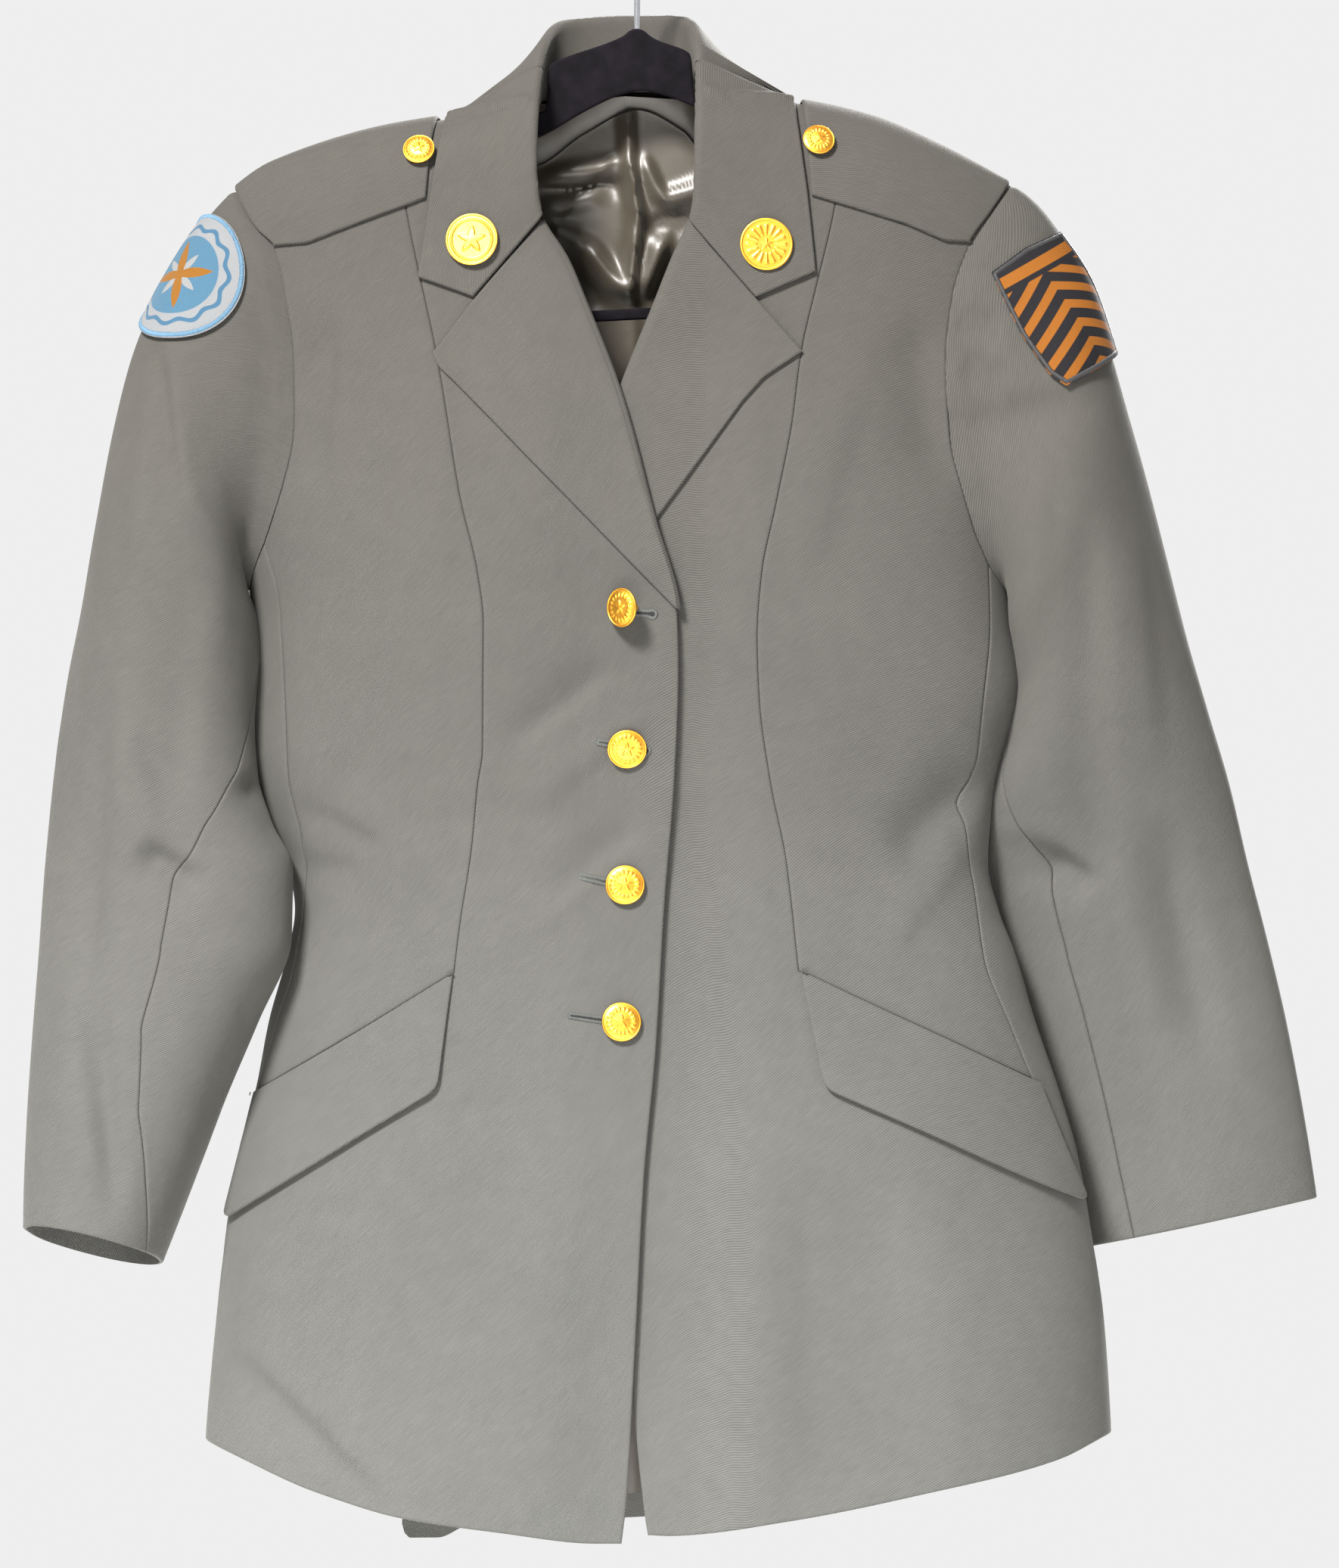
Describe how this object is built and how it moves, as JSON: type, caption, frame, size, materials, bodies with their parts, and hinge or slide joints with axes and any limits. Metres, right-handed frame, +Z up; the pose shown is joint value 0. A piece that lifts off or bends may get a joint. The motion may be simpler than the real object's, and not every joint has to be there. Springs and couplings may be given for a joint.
{
  "type": "military blazer on a hanger",
  "caption": "Single breasted wool service coat with notched lapels, shoulder loops, slanted pocket flaps and gilt buttons, hanging on a slim velvet hanger with a steel hook.",
  "frame": {"origin": "inside of the top of the hanger's hook, where it rests on a rail", "axes": "+Z up, -Y towards the front of the coat, +X towards the wearer's left"},
  "size_m": [0.625, 0.1372, 0.8097],
  "materials": {
    "wool": "dark grey green wool twill, matt with a faint sheen",
    "lining": "dark olive satin",
    "gilt": "polished gilt",
    "blue_badge": "embroidered",
    "gold_badge": "embroidered",
    "velvet": "black velvet flock",
    "steel": "bright steel wire"
  },
  "bodies": {
    "root": {"front_right": "wool", "front_left": "wool", "side_front_right": "wool", "side_front_left": "wool", "side_right": "wool", "side_left": "wool", "back_right": "wool", "back_left": "wool", "top_sleeve_right": "wool", "top_sleeve_left": "wool", "under_sleeve_right": "wool", "under_sleeve_left": "wool", "collar": "wool", "lapel_right": "wool", "lapel_left": "wool", "pocket_flap_right": "wool", "pocket_flap_left": "wool", "shoulder_loop_right": "wool", "shoulder_loop_left": "wool", "back_lining": "lining", "front_button_1": "gilt", "front_button_2": "gilt", "front_button_3": "gilt", "front_button_4": "gilt", "shoulder_button_right": "gilt", "shoulder_button_left": "gilt", "collar_disc_right": "gilt", "collar_disc_left": "gilt", "round_badge_right": "blue_badge", "shield_badge_left": "gold_badge", "hanger_body": "velvet", "hanger_hook": "steel"}
  },
  "joints": []
}
